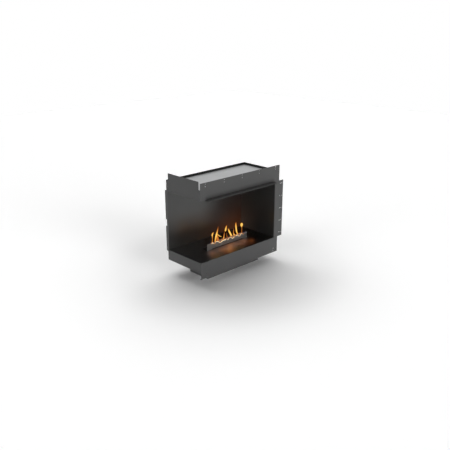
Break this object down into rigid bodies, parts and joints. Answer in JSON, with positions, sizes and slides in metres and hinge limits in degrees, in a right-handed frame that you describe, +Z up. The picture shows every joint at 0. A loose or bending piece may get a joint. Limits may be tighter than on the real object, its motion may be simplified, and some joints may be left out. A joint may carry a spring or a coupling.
{
  "type": "corner bioethanol fireplace",
  "caption": "Built-in corner firebox in sheet steel, open at the front and left, with a slim lift-out ethanol burner, flame guard and sliding snuffer.",
  "frame": {"origin": "on the ground under the middle of the whole part, at the height of the well's bottom", "axes": "+X to the right along the long front opening, +Y to the back, +Z up; the front opening looks to -Y and the end opening to -X"},
  "size_m": [0.896, 0.451, 0.816],
  "materials": {
    "grey_paint": "fine matt grey powder coat",
    "gloss_black": "semi-gloss black heat-proof paint",
    "satin_black": "satin black heat-proof paint",
    "zinc_sheet": "plain zinc-coated sheet",
    "stainless_steel": "brushed stainless steel",
    "screw_steel": "plain steel fasteners",
    "ceramic_fibre": "felted ceramic fibre"
  },
  "bodies": {
    "casing": {"hood_front_plate": "grey_paint", "hood_side_plate": "grey_paint", "heat_deflector": "grey_paint", "right_plaster_flange": "grey_paint", "rear_plaster_flange": "grey_paint", "front_skirt": "grey_paint", "side_skirt": "grey_paint", "floor_panel": "gloss_black", "ceiling_panel": "gloss_black", "inner_back_panel": "gloss_black", "inner_right_panel": "gloss_black", "outer_back_panel": "satin_black", "outer_right_panel": "satin_black", "top_panel": "zinc_sheet", "rear_corner_post": "zinc_sheet", "floor_rail_left": "zinc_sheet", "floor_rail_right": "zinc_sheet", "side_bracket_1": "zinc_sheet", "side_bracket_2": "zinc_sheet", "side_bracket_3": "zinc_sheet", "side_bracket_4": "zinc_sheet", "top_bracket_left": "zinc_sheet", "top_bracket_right": "zinc_sheet", "back_spacer_1": "zinc_sheet", "back_spacer_2": "zinc_sheet", "back_spacer_3": "zinc_sheet", "back_spacer_4": "zinc_sheet", "burner_well": "grey_paint", "back_screw_1": "screw_steel", "back_screw_2": "screw_steel", "back_screw_3": "screw_steel", "back_screw_4": "screw_steel", "side_screw_1": "screw_steel", "side_screw_2": "screw_steel", "side_screw_3": "screw_steel", "side_screw_4": "screw_steel", "well_screw_1": "screw_steel", "well_screw_2": "screw_steel", "well_screw_3": "screw_steel", "well_screw_4": "screw_steel"},
    "burner": {"burner_tank": "stainless_steel", "ceramic_wick": "ceramic_fibre", "burner_top_plate": "satin_black", "guard_plate": "stainless_steel", "guard_screw_1": "screw_steel", "guard_screw_2": "screw_steel", "snuffer_runner_left": "stainless_steel", "snuffer_runner_right": "stainless_steel"},
    "snuffer": {"snuffer_plate": "stainless_steel", "snuffer_knob": "screw_steel"}
  },
  "joints": [
    {"name": "burner_lift", "type": "slide", "parent": "casing", "child": "burner", "axis": [0, 0, 1], "range_m": [0, 0.1]},
    {"name": "snuffer_slide", "type": "slide", "parent": "burner", "child": "snuffer", "axis": [0, -1, 0], "range_m": [0, 0.0175]}
  ]
}
